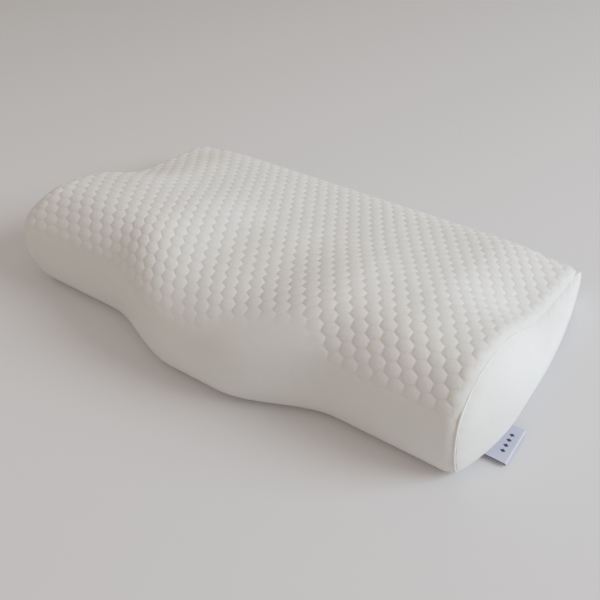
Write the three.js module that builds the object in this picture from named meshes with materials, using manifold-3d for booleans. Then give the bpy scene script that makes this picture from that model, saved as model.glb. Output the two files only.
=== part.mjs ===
// A contoured foam pillow in a knitted zip-off cover.
// Millimetres. X runs along the pillow, -Y is the neck side, +Z is up.
// The origin is the middle of the flat underside.
import * as THREE from 'three';
import { mergeVertices } from 'three/addons/utils/BufferGeometryUtils.js';
import Module from 'manifold-3d';

const wasm = await Module();
wasm.setup();

// ---- driving dimensions -------------------------------------------------

const SEAM_LENGTH = 560; // between the two piped end seams
const END_CROWN = 26; // how far each end panel swells past its edge
const BACK_CROWN = 0.45; // share of that swelling left at the back edge
const DEPTH = 324; // neck side to back at the wings
const BELLY_OUT = 35; // how far the neck side bulges forward in the middle
const BELLY_HALF = 32; // half the width of the bulge's straight nose
const BELLY_FLANK = 125; // length of each S-shaped flank beside it

const NECK_HEIGHT_MIDDLE = 93; // crest of the neck roll
const NECK_HEIGHT_WING = 107;
const NECK_HEIGHT_END = 102;
const HEAD_HEIGHT_MIDDLE = 75; // where the head lies
const HEAD_HEIGHT_WING = 81;
const HEAD_HEIGHT_END = 61;
const BACK_HEIGHT = 51; // the low lobe along the back
const BACK_HEIGHT_END = 40;
const WING_START = 25; // distance from the middle where the wings begin to rise
const WING_RISE = 100; // length of that rise
const END_FALL = 92; // stretch before each seam where the heights dip
const FOOT_HEIGHT = 9; // where the front and back faces begin to turn under
const CREST_SETBACK = 50; // from the neck side's face to the crest
const LOBE_SETBACK = 22; // from the back's face to the back lobe's crest
const FOOT_SETBACK = 20; // from the front and back faces to the flat underside

// In-between points of the outline, as shares of the two points beside them.
const BACK_SLOPE_SETBACK = 0.2; // of the back lobe's setback
const BACK_SLOPE_HEIGHT = 0.6; // from the zip slot up to the back lobe
const HEAD_RAMP_SETBACK = 0.24; // of the depth, from the back
const HEAD_RAMP_HEIGHT = 0.45; // from the back lobe up to the head hollow
const HEAD_SETBACK = 0.43; // of the depth, from the back
const NECK_RAMP_SETBACK = 0.64; // of the depth, from the back
const NECK_RAMP_HEIGHT = 0.8; // from the head hollow up to the neck roll
const SHOULDER_SETBACK = 0.24; // of the crest's setback, from the front
const SHOULDER_HEIGHT = 0.78; // of the neck roll
const FACE_HEIGHT = 0.47; // of the neck roll, where the front face stands furthest out
const FOOT_TURN = 0.2; // of the foot's setback
const END_MIDDLE_SETBACK = 0.13; // of the depth, from the front to the middle of an end
const END_MIDDLE_HEIGHT = 0.34; // of the neck roll

const COVER_CLOTH = 2.2; // thickness of the knitted cover
const LINER_CLOTH = 0.8;
const LABEL_CLOTH = 0.5;
const GAP = 0.4; // clearance between neighbouring pieces
const LINER_EASE = 0.8; // between the liner and the foam
const SEAM_STEP = 0.03; // slit between panels at the bottom seam, as a share of one outline span

const PIPING_RADIUS = 1.9;
const PIPING_PROUD = 1.5; // how far the piping stands out of the cloth
const PIPING_LIFT = 0.1; // between the piping and the floor
const PIPING_SIDES = 6;

const ZIP_HEIGHT = 22; // height of the zip's middle line on the back
const ZIP_END_MARGIN = 52; // from each seam to the end of the zip
const ZIP_COIL = 2.2; // width and thickness of one row of coil
const ZIP_TAPE = 0.6;
const ZIP_TAPE_UP = 1; // place on the outline where the upper tape ends
const ZIP_TAPE_DOWN = -2; // and the lower tape
const COIL_SHOULDER = 0.3; // share of the coil's thickness taken off its outer corner
const ZIP_STOP_LENGTH = 5; // bar tack at each end of the coil
const SLIDER_LENGTH = 11;
const SLIDER_WALL = 1.1;
const SLIDER_PARK = 14; // from the coil's end to the slider's middle when closed
const EYE_RADIUS = 1.4; // half the opening of the slider's bail
const BAIL_WALL = 1;
const BAIL_WIDTH = 2;
const PULL_LENGTH = 24;
const PULL_WIDTH = 7;
const PULL_THICKNESS = 1.2;

const SIDE_LABEL_WIDTH = 46; // along the seam
const SIDE_LABEL_ROOT = 12; // from the end panel's edge to where the label bends freely
const SIDE_LABEL_OUT = 22; // from there to its fold
const SIDE_LABEL_Y = -94; // its middle
const SIDE_LABEL_HEIGHT = 1.2; // underside above the floor
const SIDE_LABEL_OPEN = 0.8; // space between its two layers
const CARE_LABEL_WIDTH = 36;
const CARE_LABEL_X = -100;
const CARE_LABEL_FROM = 1.5; // places on the outline where the care label starts and ends
const CARE_LABEL_TO = 2.5;

const STATIONS = 20; // lengthwise steps of every lofted piece
const END_RINGS = 4; // steps from an end panel's edge to its middle
const EDGE_DEPTH = 0.3; // share of a layer's inset that it keeps at an end panel's edge

// ---- places worked out from them ----------------------------------------

const seamX = SEAM_LENGTH / 2;
const backY = DEPTH / 2;
const wingFrontY = -DEPTH / 2;
const coverEndX = seamX - PIPING_RADIUS - GAP;
const endPanelX = seamX + PIPING_RADIUS + 2 * GAP;

const tapeInset = COVER_CLOTH + GAP;
const linerInset = tapeInset + ZIP_TAPE + GAP;
const foamInset = linerInset + LINER_CLOTH + LINER_EASE;

const coilBottom = GAP / 2; // from the zip's middle line
const coilTop = coilBottom + ZIP_COIL;
const channelHalf = coilTop + GAP;
const sliderHalf = channelHalf + SLIDER_WALL;
const slotHalf = sliderHalf + 2 * GAP;

const { euclideanModulo, lerp, smoothstep } = THREE.MathUtils;
const vec = (x, y, z) => new THREE.Vector3(x, y, z);
const ramp = (value, start, length) => smoothstep(value, start, start + length);
const steps = (from, to, count) => Array.from({ length: count + 1 }, (_, i) => lerp(from, to, i / count));

// ---- the pillow's outside shape -----------------------------------------

// Height at station x from its three named values.
function heightAt(x, middle, wing, end) {
  const body = lerp(middle, wing, ramp(Math.abs(x), WING_START, WING_RISE));
  return lerp(body, end, ramp(Math.abs(x), seamX - END_FALL, END_FALL));
}

function frontAt(x) {
  return wingFrontY - BELLY_OUT * (1 - ramp(Math.abs(x), BELLY_HALF, BELLY_FLANK));
}

// The closed outline at station x. It starts at the upper edge of the zip slot and
// goes over the back, down the neck side, along the underside and up to the slot.
function outlineAt(x) {
  const front = frontAt(x);
  const neck = heightAt(x, NECK_HEIGHT_MIDDLE, NECK_HEIGHT_WING, NECK_HEIGHT_END);
  const head = heightAt(x, HEAD_HEIGHT_MIDDLE, HEAD_HEIGHT_WING, HEAD_HEIGHT_END);
  const back = heightAt(x, BACK_HEIGHT, BACK_HEIGHT, BACK_HEIGHT_END);
  return [
    [backY, ZIP_HEIGHT + slotHalf],
    [backY - BACK_SLOPE_SETBACK * LOBE_SETBACK, lerp(ZIP_HEIGHT + slotHalf, back, BACK_SLOPE_HEIGHT)],
    [backY - LOBE_SETBACK, back],
    [backY - HEAD_RAMP_SETBACK * DEPTH, lerp(back, head, HEAD_RAMP_HEIGHT)],
    [backY - HEAD_SETBACK * DEPTH, head],
    [backY - NECK_RAMP_SETBACK * DEPTH, lerp(head, neck, NECK_RAMP_HEIGHT)],
    [front + CREST_SETBACK, neck],
    [front + SHOULDER_SETBACK * CREST_SETBACK, SHOULDER_HEIGHT * neck],
    [front, FACE_HEIGHT * neck],
    [front + FOOT_TURN * FOOT_SETBACK, FOOT_HEIGHT],
    [front + FOOT_SETBACK, 0],
    [backY - FOOT_SETBACK, 0],
    [backY - FOOT_TURN * FOOT_SETBACK, FOOT_HEIGHT],
    [backY, ZIP_HEIGHT - slotHalf],
  ].map(([y, z]) => vec(x, y, z));
}

// Places on the outline, counted in its points.
const OUTLINE_SPANS = outlineAt(0).length;
const FRONT_SEAM = 9; // the front face's foot
const SLOT_TOP = 0;
const SLOT_BOTTOM = OUTLINE_SPANS - 1;
const SLOT_MIDDLE = OUTLINE_SPANS - 0.5;

const curves = new Map();

function curveAt(x) {
  if (!curves.has(x)) curves.set(x, new THREE.CatmullRomCurve3(outlineAt(x), true));
  return curves.get(x);
}

// A point at place t on the outline of station x, moved inwards by inset. The
// pillow's weight flattens the underside, and the zip keeps the back straight.
function skinPoint(x, t, inset) {
  const share = euclideanModulo(t / OUTLINE_SPANS, 1);
  const point = curveAt(x).getPoint(share);
  const tangent = curveAt(x).getTangent(share);
  point.addScaledVector(vec(0, -tangent.z, tangent.y).normalize(), inset);
  point.z = Math.max(point.z, inset);
  point.y = Math.min(point.y, backY - inset);
  return point;
}

// A point of a swelling end face: inward is 0 at its edge and 1 at its middle. Each
// layer lies its own inset under the cover, less at the edge, where it meets the seam.
function endPoint(side, t, inward, inset) {
  const middle = vec(0, wingFrontY + END_MIDDLE_SETBACK * DEPTH, END_MIDDLE_HEIGHT * NECK_HEIGHT_END);
  const share = inward ** 2; // rings crowd towards the edge, where the face curves most
  const point = skinPoint(side * seamX, t, inset).lerp(middle, share);
  const crown = END_CROWN * lerp(1, BACK_CROWN, ramp(point.y, middle.y, backY - middle.y));
  const swell = crown * Math.sqrt(1 - (1 - share) ** 2);
  const depth = inset * lerp(EDGE_DEPTH, 1, Math.min(1, END_RINGS * inward));
  return point.setX(side * (endPanelX + swell - depth));
}

// ---- solids from rings of points ----------------------------------------

// Joins rings of equal length into one closed solid. Its ends are closed by strips
// across the ring ('strip'), by shrinking to a point ('point'), or by joining the
// last ring to the first ('loop'). Each four-cornered patch is split along one
// diagonal, or along the other where flips says so, which keeps layers parallel.
function loft(rings, ends, flips = () => false) {
  const count = rings[0].length;
  const spans = ends === 'loop' ? rings.length : rings.length - 1;
  const index = [];
  for (let i = 0; i < spans; i += 1) {
    const here = i * count;
    const next = ((i + 1) % rings.length) * count;
    for (let j = 0; j < count; j += 1) {
      const k = (j + 1) % count;
      const [a, b, c, d] = [here + j, next + j, next + k, here + k];
      if (flips(i, j)) index.push(a, b, d, b, c, d);
      else index.push(a, b, c, a, c, d);
    }
  }
  if (ends === 'strip') {
    const last = (rings.length - 1) * count;
    for (let j = 0; j < count / 2 - 1; j += 1) {
      const k = count - 1 - j;
      index.push(j, j + 1, k - 1, j, k - 1, k);
      index.push(last + j, last + k - 1, last + j + 1, last + j, last + k, last + k - 1);
    }
  }
  const geometry = new THREE.BufferGeometry().setFromPoints(rings.flat());
  geometry.setIndex(index);
  return facingOut(withoutSlivers(mergeVertices(geometry, 1e-3)));
}

function triangles(geometry) {
  const index = Array.from(geometry.index.array);
  return Array.from({ length: index.length / 3 }, (_, i) => index.slice(3 * i, 3 * i + 3));
}

// Drops the triangles that have collapsed at a pole.
function withoutSlivers(geometry) {
  const kept = triangles(geometry).filter(([a, b, c]) => a !== b && b !== c && a !== c);
  geometry.setIndex(kept.flat());
  return geometry;
}

// Turns every face round when the solid comes out with a negative volume.
function facingOut(geometry) {
  const corner = (i) => vec(0, 0, 0).fromBufferAttribute(geometry.attributes.position, i);
  const volume = triangles(geometry).reduce(
    (sum, [a, b, c]) => sum + corner(a).dot(corner(b).cross(corner(c))), 0);
  if (volume < 0) geometry.setIndex(Array.from(geometry.index.array).reverse());
  return geometry;
}

// Every layer breaks its facets at the same stations and places, so layers stay parallel.
const stationRungs = steps(-coverEndX, coverEndX, STATIONS);
const placeRungs = steps(-OUTLINE_SPANS, OUTLINE_SPANS, 4 * OUTLINE_SPANS);
const between = (from, to, rungs) => [from, ...rungs.filter((rung) => rung > from && rung < to), to];

// Cloth that follows the skin: between stations x0 and x1, places t0 and t1, and
// from the inset named outer inwards through its thickness.
function skinPatch({ x0, x1, t0, t1, outer, thickness }) {
  const path = between(t0, t1, placeRungs);
  const wayBack = [...path].reverse();
  const rings = between(x0, x1, stationRungs).map((x) => [
    ...path.map((t) => skinPoint(x, t, outer)),
    ...wayBack.map((t) => skinPoint(x, t, outer + thickness)),
  ]);
  return loft(rings, 'strip', (i, j) => j >= path.length);
}

const ringPlaces = steps(0, OUTLINE_SPANS, 2 * OUTLINE_SPANS).slice(0, -1);
const endRing = (side, inward, inset) => ringPlaces.map((t) => endPoint(side, t, inward, inset));

// The swelling cloth disc that closes one end.
function endPanel(side, inset, thickness) {
  const outside = steps(1, 0, END_RINGS).map((inward) => endRing(side, inward, inset));
  const inside = steps(0, 1, END_RINGS).map((inward) => endRing(side, inward, inset + thickness));
  return loft([...outside, ...inside], 'point', (i) => i <= END_RINGS);
}

// The foam: the skin moved inwards, with a swelling face at each end.
function foamBlock() {
  const left = steps(1, 0, END_RINGS).map((inward) => endRing(-1, inward, foamInset));
  const right = steps(0, 1, END_RINGS).map((inward) => endRing(1, inward, foamInset));
  const middle = stationRungs.map((x) => ringPlaces.map((t) => skinPoint(x, t, foamInset)));
  return loft([...left, ...middle, ...right], 'point', (i) => i < END_RINGS);
}

// The cord sewn into one end seam, all the way round.
function pipingRing(side) {
  const x = side * seamX;
  const angles = steps(0, 2 * Math.PI, PIPING_SIDES).slice(0, -1);
  const rings = ringPlaces.map((t) => {
    const outward = skinPoint(x, t, 0).sub(skinPoint(x, t, 1)).normalize();
    const middle = skinPoint(x, t, PIPING_RADIUS - PIPING_PROUD);
    middle.z = Math.max(middle.z, PIPING_RADIUS + PIPING_LIFT);
    return angles.map((angle) => middle.clone()
      .addScaledVector(outward, PIPING_RADIUS * Math.cos(angle))
      .add(vec(PIPING_RADIUS * Math.sin(angle), 0, 0)));
  });
  return loft(rings, 'loop');
}

// ---- cover, liner and labels --------------------------------------------

const coverSpan = { x0: -coverEndX, x1: coverEndX, outer: 0, thickness: COVER_CLOTH };
const linerSpan = { x0: -coverEndX, x1: coverEndX, outer: linerInset, thickness: LINER_CLOTH };
const tapeSpan = { x0: -coverEndX, x1: coverEndX, outer: tapeInset, thickness: ZIP_TAPE };
const topPlaces = { t0: SLOT_TOP, t1: FRONT_SEAM - SEAM_STEP };
const bottomPlaces = { t0: FRONT_SEAM + SEAM_STEP, t1: SLOT_BOTTOM };

// The liner has no zip slot: its two halves meet along the slot's middle line.
const linerTopPlaces = { ...topPlaces, t0: SLOT_MIDDLE - OUTLINE_SPANS + SEAM_STEP };
const linerBottomPlaces = { ...bottomPlaces, t1: SLOT_MIDDLE - SEAM_STEP };

const tapeGap = GAP / (2 * slotHalf);
const upperTapePlaces = { t0: tapeGap - 0.5, t1: ZIP_TAPE_UP };
const lowerTapePlaces = { t0: ZIP_TAPE_DOWN, t1: -0.5 - tapeGap };

function careLabel() {
  const half = CARE_LABEL_WIDTH / 2;
  return skinPatch({
    x0: CARE_LABEL_X - half,
    x1: CARE_LABEL_X + half,
    t0: CARE_LABEL_FROM,
    t1: CARE_LABEL_TO,
    outer: tapeInset,
    thickness: LABEL_CLOTH,
  });
}

// A ribbon folded in half, its two ends stitched in the bottom of the right end seam.
const labelRootX = endPanelX + SIDE_LABEL_ROOT;
const labelFoldX = labelRootX + SIDE_LABEL_OUT;

function sideLabel() {
  const low = SIDE_LABEL_HEIGHT;
  const inside = low + LABEL_CLOTH;
  const roof = inside + SIDE_LABEL_OPEN;
  const top = roof + LABEL_CLOTH;
  const shape = new THREE.Shape();
  shape.moveTo(labelRootX, low);
  shape.lineTo(labelFoldX - top / 2, low);
  shape.quadraticCurveTo(labelFoldX, low, labelFoldX, (low + top) / 2);
  shape.quadraticCurveTo(labelFoldX, top, labelFoldX - top / 2, top);
  shape.lineTo(labelRootX, top);
  shape.lineTo(labelRootX, roof);
  shape.lineTo(labelFoldX - top, roof);
  shape.lineTo(labelFoldX - top, inside);
  shape.lineTo(labelRootX, inside);
  shape.closePath();
  const depth = SIDE_LABEL_WIDTH;
  const ribbon = new THREE.ExtrudeGeometry(shape, { depth, bevelEnabled: false, curveSegments: 3 });
  // The shape's plane becomes XZ, and the ribbon's width runs along Y.
  ribbon.rotateX(Math.PI / 2);
  ribbon.translate(0, SIDE_LABEL_Y + SIDE_LABEL_WIDTH / 2, 0);
  return ribbon;
}

// ---- the zip, on the straight back face ---------------------------------

const coilInnerY = backY - tapeInset + GAP;
const coilOuterY = coilInnerY + ZIP_COIL;
const coilHalf = seamX - ZIP_END_MARGIN - ZIP_STOP_LENGTH - GAP;
const sliderInnerY = coilOuterY + GAP;
const sliderOuterY = sliderInnerY + SLIDER_WALL;
const sliderX = coilHalf - SLIDER_PARK;
const hingeY = sliderOuterY + EYE_RADIUS;

// A bar along X with its outline given in Y and Z.
function barAlongX(outline, x0, x1) {
  const shape = new THREE.Shape(outline.map(([y, z]) => new THREE.Vector2(y, z)));
  const bar = new THREE.ExtrudeGeometry(shape, { depth: x1 - x0, bevelEnabled: false });
  bar.applyMatrix4(new THREE.Matrix4().makeBasis(vec(0, 1, 0), vec(0, 0, 1), vec(1, 0, 0)));
  bar.translate(x0, 0, 0);
  return bar;
}

// One row of coil above (side 1) or below (side -1) the zip's middle line.
function zipCoil(side) {
  const z0 = ZIP_HEIGHT + side * coilBottom;
  const z1 = ZIP_HEIGHT + side * coilTop;
  const shoulder = COIL_SHOULDER * ZIP_COIL;
  const outline = [
    [coilInnerY, z0],
    [coilOuterY, z0],
    [coilOuterY, z1 - side * shoulder],
    [coilOuterY - shoulder, z1],
    [coilInnerY, z1],
  ];
  return barAlongX(outline, -coilHalf, coilHalf);
}

function zipStop(side) {
  const near = side * (coilHalf + GAP);
  const far = side * (coilHalf + GAP + ZIP_STOP_LENGTH);
  const outline = [
    [coilInnerY, ZIP_HEIGHT - coilTop],
    [coilOuterY, ZIP_HEIGHT - coilTop],
    [coilOuterY, ZIP_HEIGHT + coilTop],
    [coilInnerY, ZIP_HEIGHT + coilTop],
  ];
  return barAlongX(outline, Math.min(near, far), Math.max(near, far));
}

function solidOf(geometry) {
  geometry.deleteAttribute('normal');
  geometry.deleteAttribute('uv');
  const merged = mergeVertices(geometry, 1e-3);
  return new wasm.Manifold(new wasm.Mesh({
    numProp: 3,
    vertProperties: new Float32Array(merged.attributes.position.array),
    triVerts: new Uint32Array(merged.index.array),
  }));
}

function geometryOf(solid) {
  const mesh = solid.getMesh();
  const geometry = new THREE.BufferGeometry();
  geometry.setAttribute('position', new THREE.BufferAttribute(mesh.vertProperties, 3));
  geometry.setIndex(new THREE.BufferAttribute(mesh.triVerts, 1));
  return geometry;
}

// A channel that rides over both rows of coil, with a bail on it for the pull tab.
function sliderBody() {
  const lipY = coilInnerY + COIL_SHOULDER * ZIP_COIL;
  const channel = barAlongX([
    [sliderOuterY, ZIP_HEIGHT - sliderHalf],
    [sliderOuterY, ZIP_HEIGHT + sliderHalf],
    [lipY, ZIP_HEIGHT + sliderHalf],
    [lipY, ZIP_HEIGHT + channelHalf],
    [sliderInnerY, ZIP_HEIGHT + channelHalf],
    [sliderInnerY, ZIP_HEIGHT - channelHalf],
    [lipY, ZIP_HEIGHT - channelHalf],
    [lipY, ZIP_HEIGHT - sliderHalf],
  ], sliderX - SLIDER_LENGTH / 2, sliderX + SLIDER_LENGTH / 2);

  const arch = new THREE.Shape();
  const outside = EYE_RADIUS + BAIL_WALL;
  const rootY = sliderOuterY - SLIDER_WALL / 2;
  arch.moveTo(sliderX - outside, rootY);
  arch.lineTo(sliderX + outside, rootY);
  arch.lineTo(sliderX + outside, hingeY);
  arch.absarc(sliderX, hingeY, outside, 0, Math.PI, false);
  arch.closePath();
  const eye = new THREE.Path().absarc(sliderX, hingeY, EYE_RADIUS, 0, 2 * Math.PI, true);
  arch.holes.push(eye);
  const depth = BAIL_WIDTH;
  const bail = new THREE.ExtrudeGeometry(arch, { depth, bevelEnabled: false, curveSegments: 8 });
  bail.translate(0, 0, ZIP_HEIGHT - BAIL_WIDTH / 2);
  return geometryOf(solidOf(channel).add(solidOf(bail)));
}

// A flat tab with a window, whose cross bar turns in the slider's bail.
function pullTab() {
  const barHalf = PULL_THICKNESS / 2;
  const windowEnd = EYE_RADIUS + 2 * BAIL_WALL + GAP;
  const windowHalf = BAIL_WIDTH / 2 + GAP;
  const half = PULL_WIDTH / 2;
  const tab = new THREE.Shape();
  tab.moveTo(barHalf, -half);
  tab.lineTo(barHalf, half);
  tab.lineTo(half - PULL_LENGTH, half);
  tab.absarc(half - PULL_LENGTH, 0, half, Math.PI / 2, 1.5 * Math.PI, false);
  tab.closePath();
  const hole = new THREE.Path();
  hole.moveTo(-barHalf, -windowHalf);
  hole.lineTo(-windowEnd, -windowHalf);
  hole.lineTo(-windowEnd, windowHalf);
  hole.lineTo(-barHalf, windowHalf);
  hole.closePath();
  tab.holes.push(hole);
  const depth = PULL_THICKNESS;
  const pull = new THREE.ExtrudeGeometry(tab, { depth, bevelEnabled: false, curveSegments: 6 });
  // The tab's face turns to the back of the pillow.
  pull.rotateX(Math.PI / 2);
  pull.translate(sliderX, hingeY + barHalf, ZIP_HEIGHT);
  return pull;
}

// ---- materials and assembly ---------------------------------------------

const cloth = (color, roughness = 0.95) => new THREE.MeshStandardMaterial({ color, roughness, metalness: 0 });
const knit = cloth(0xf1efeb);
const jersey = cloth(0xe9e7e2);
const foam = cloth(0xf3e8cf, 0.9);
const tape = cloth(0xe8e8e6, 0.8);
const nylon = new THREE.MeshStandardMaterial({ color: 0xe4e5e6, roughness: 0.45, metalness: 0 });
const satin = cloth(0xe6e7ee, 0.55);
const metal = new THREE.MeshStandardMaterial({ color: 0xd7d8da, roughness: 0.35, metalness: 0.9 });

const pillow = new THREE.Group();

function addPiece(name, geometry, material) {
  const mesh = new THREE.Mesh(geometry, material);
  mesh.name = name;
  pillow.add(mesh);
}

addPiece('cover_top_panel', skinPatch({ ...coverSpan, ...topPlaces }), knit);
addPiece('cover_bottom_panel', skinPatch({ ...coverSpan, ...bottomPlaces }), knit);
addPiece('liner_top_panel', skinPatch({ ...linerSpan, ...linerTopPlaces }), jersey);
addPiece('liner_bottom_panel', skinPatch({ ...linerSpan, ...linerBottomPlaces }), jersey);
addPiece('foam_core', foamBlock(), foam);
for (const [word, side] of [['left', -1], ['right', 1]]) {
  addPiece(`cover_${word}_end_panel`, endPanel(side, 0, COVER_CLOTH), knit);
  addPiece(`${word}_end_piping`, pipingRing(side), knit);
  addPiece(`liner_${word}_end_panel`, endPanel(side, linerInset, LINER_CLOTH), jersey);
  addPiece(`zip_stop_${word}`, zipStop(side), tape);
}
addPiece('zip_tape_upper', skinPatch({ ...tapeSpan, ...upperTapePlaces }), tape);
addPiece('zip_tape_lower', skinPatch({ ...tapeSpan, ...lowerTapePlaces }), tape);
addPiece('zip_coil_upper', zipCoil(1), nylon);
addPiece('zip_coil_lower', zipCoil(-1), nylon);
addPiece('zip_slider', sliderBody(), metal);
addPiece('zip_pull_tab', pullTab(), metal);
addPiece('side_label', sideLabel(), satin);
addPiece('care_label', careLabel(), satin);

export default pillow;
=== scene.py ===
# %% [markdown]
# # A contoured bed pillow in a knitted cover
#
# The pillow is one block of memory foam with a neck roll along the front, a lower hollow for the
# head, a bulge in the middle of the front and two wings. It wears a thin jersey liner and, over
# that, a white knitted cover that zips off along the back. The CAD model gives the frame: every
# piece here takes its place from it, in metres, with Z up and the front of the pillow towards -Y.

# %% Load the frame
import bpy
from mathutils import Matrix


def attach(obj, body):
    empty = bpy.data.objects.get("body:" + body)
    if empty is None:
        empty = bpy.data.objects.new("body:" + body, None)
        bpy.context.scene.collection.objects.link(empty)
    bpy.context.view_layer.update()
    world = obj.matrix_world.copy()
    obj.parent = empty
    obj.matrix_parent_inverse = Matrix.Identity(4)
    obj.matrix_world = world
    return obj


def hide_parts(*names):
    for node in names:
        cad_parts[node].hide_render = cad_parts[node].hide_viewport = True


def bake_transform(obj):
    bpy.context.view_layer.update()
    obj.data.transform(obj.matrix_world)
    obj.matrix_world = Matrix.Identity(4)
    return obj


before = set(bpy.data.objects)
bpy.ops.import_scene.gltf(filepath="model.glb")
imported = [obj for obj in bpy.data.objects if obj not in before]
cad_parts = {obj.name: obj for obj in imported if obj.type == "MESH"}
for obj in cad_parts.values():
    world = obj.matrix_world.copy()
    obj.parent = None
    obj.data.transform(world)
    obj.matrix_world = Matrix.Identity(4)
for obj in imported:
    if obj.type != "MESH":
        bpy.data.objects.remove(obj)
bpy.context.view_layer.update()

# %% [markdown]
# NumPy moves many points at once, and mathutils finds near points and the walls of a mesh.

# %% The libraries this lesson uses
import math
import bpy
import numpy as np
from mathutils import Matrix, Vector
from mathutils.bvhtree import BVHTree
from mathutils.kdtree import KDTree

print("Blender", bpy.app.version_string)

# %% [markdown]
# ## Working by hand, in code
#
# An operator acts on whatever is selected, so a small set of helpers selects one object at a
# time and enters or leaves edit mode. Two more helpers read and write the points of a mesh as
# one array, which is how a flat sheet is laid over the foam.

# %% Selecting and shaping helpers
def alone(obj):
    if bpy.context.mode != "OBJECT":
        bpy.ops.object.mode_set(mode="OBJECT")
    bpy.ops.object.select_all(action="DESELECT")
    obj.select_set(True)
    bpy.context.view_layer.objects.active = obj
    return obj


def edit(obj, mode="VERT"):
    alone(obj)
    bpy.ops.object.mode_set(mode="EDIT")
    bpy.ops.mesh.select_mode(type=mode)
    bpy.ops.mesh.select_all(action="SELECT")


def leave():
    bpy.ops.object.mode_set(mode="OBJECT")


def points_of(obj, what="co"):
    values = np.empty(len(obj.data.vertices) * 3, np.float32)
    obj.data.vertices.foreach_get(what, values)
    return values.reshape(-1, 3).astype(float)


def set_points(obj, co):
    obj.data.vertices.foreach_set("co", np.asarray(co, np.float32).ravel())
    obj.data.update()


def apply_modifiers(obj):
    alone(obj)
    for modifier in list(obj.modifiers):
        bpy.ops.object.modifier_apply(modifier=modifier.name)


def settle(obj):
    """Puts the object's place, turn and size into its mesh."""
    alone(obj)
    bpy.ops.object.transform_apply(location=True, rotation=True, scale=True)


def smooth(obj, angle=50):
    alone(obj)
    bpy.ops.object.shade_smooth_by_angle(angle=math.radians(angle))


def named(name):
    obj = bpy.context.active_object
    obj.name = name
    obj.data.name = name
    return obj


def add_object(name, data):
    obj = bpy.data.objects.new(name, data)
    bpy.context.scene.collection.objects.link(obj)
    return obj


def face_out(obj):
    edit(obj)
    bpy.ops.mesh.normals_make_consistent(inside=False)
    leave()


def triangles_in(obj):
    return sum(len(p.vertices) - 2 for p in obj.data.polygons)


def as_mm(metres):
    return round(metres * 1000, 2)


# %% [markdown]
# ## The shape of the pillow
#
# Cut the pillow across its length and the cut is a closed, rounded outline: up the back, over
# the low lobe, through the hollow for the head, over the neck roll, down the front and back
# under the pillow. Its heights change slowly along the length, and the front comes forward in
# the middle. The CAD solids were lofted through such outlines, so the same sizes are repeated
# here, and every cloth panel can be laid on the same skin.

# %% Driving sizes, as in the CAD
SEAM_X = 0.280
BACK_CROWN = 0.45
DEPTH = 0.324
BELLY_OUT = 0.035
BELLY_HALF = 0.032
BELLY_FLANK = 0.125
NECK_HEIGHT = (0.093, 0.107, 0.102)
HEAD_HEIGHT = (0.075, 0.081, 0.061)
BACK_HEIGHT = (0.051, 0.051, 0.040)
WING_START = 0.025
WING_RISE = 0.100
END_FALL = 0.092
FOOT_HEIGHT = 0.009
FOOT_SETBACK = 0.020
CREST_SETBACK = 0.050
LOBE_SETBACK = 0.022
BACK_SLOPE_SETBACK = 0.2
BACK_SLOPE_HEIGHT = 0.6
HEAD_RAMP_SETBACK = 0.24
HEAD_RAMP_HEIGHT = 0.45
HEAD_SETBACK = 0.43
NECK_RAMP_SETBACK = 0.64
NECK_RAMP_HEIGHT = 0.8
SHOULDER_SETBACK = 0.24
SHOULDER_HEIGHT = 0.78
FACE_HEIGHT = 0.47
FOOT_TURN = 0.2
ZIP_HEIGHT = 0.022
SLOT_HALF = 0.0047
COVER_END_X = 0.2794
END_PANEL_X = 0.2803
BACK_Y = DEPTH / 2
FRONT_SEAM_T = 9.0
SLOT_BOTTOM_T = 13.0
OUTLINE_POINTS = 14


def ramp(value, start, length):
    share = np.clip((value - start) / length, 0, 1)
    return share * share * (3 - 2 * share)


def mix(a, b, share):
    return a + (b - a) * share


def height_at(x, heights):
    middle, wing, end = heights
    body = mix(middle, wing, ramp(np.abs(x), WING_START, WING_RISE))
    return mix(body, end, ramp(np.abs(x), SEAM_X - END_FALL, END_FALL))


def front_at(x):
    return -BACK_Y - BELLY_OUT * (1 - ramp(np.abs(x), BELLY_HALF, BELLY_FLANK))


def outline_points(x):
    neck = height_at(x, NECK_HEIGHT)
    head = height_at(x, HEAD_HEIGHT)
    back = height_at(x, BACK_HEIGHT)
    front = front_at(x)
    level = np.zeros_like(x)
    lip = level + ZIP_HEIGHT + SLOT_HALF
    pairs = [
        (level + BACK_Y, lip),
        (level + BACK_Y - BACK_SLOPE_SETBACK * LOBE_SETBACK, mix(lip, back, BACK_SLOPE_HEIGHT)),
        (level + BACK_Y - LOBE_SETBACK, back),
        (level + BACK_Y - HEAD_RAMP_SETBACK * DEPTH, mix(back, head, HEAD_RAMP_HEIGHT)),
        (level + BACK_Y - HEAD_SETBACK * DEPTH, head),
        (level + BACK_Y - NECK_RAMP_SETBACK * DEPTH, mix(head, neck, NECK_RAMP_HEIGHT)),
        (front + CREST_SETBACK, neck),
        (front + SHOULDER_SETBACK * CREST_SETBACK, SHOULDER_HEIGHT * neck),
        (front, FACE_HEIGHT * neck),
        (front + FOOT_TURN * FOOT_SETBACK, level + FOOT_HEIGHT),
        (front + FOOT_SETBACK, level),
        (level + BACK_Y - FOOT_SETBACK, level),
        (level + BACK_Y - FOOT_TURN * FOOT_SETBACK, level + FOOT_HEIGHT),
        (level + BACK_Y, level + ZIP_HEIGHT - SLOT_HALF),
    ]
    return np.stack([np.stack(pair, -1) for pair in pairs], 1)


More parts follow.
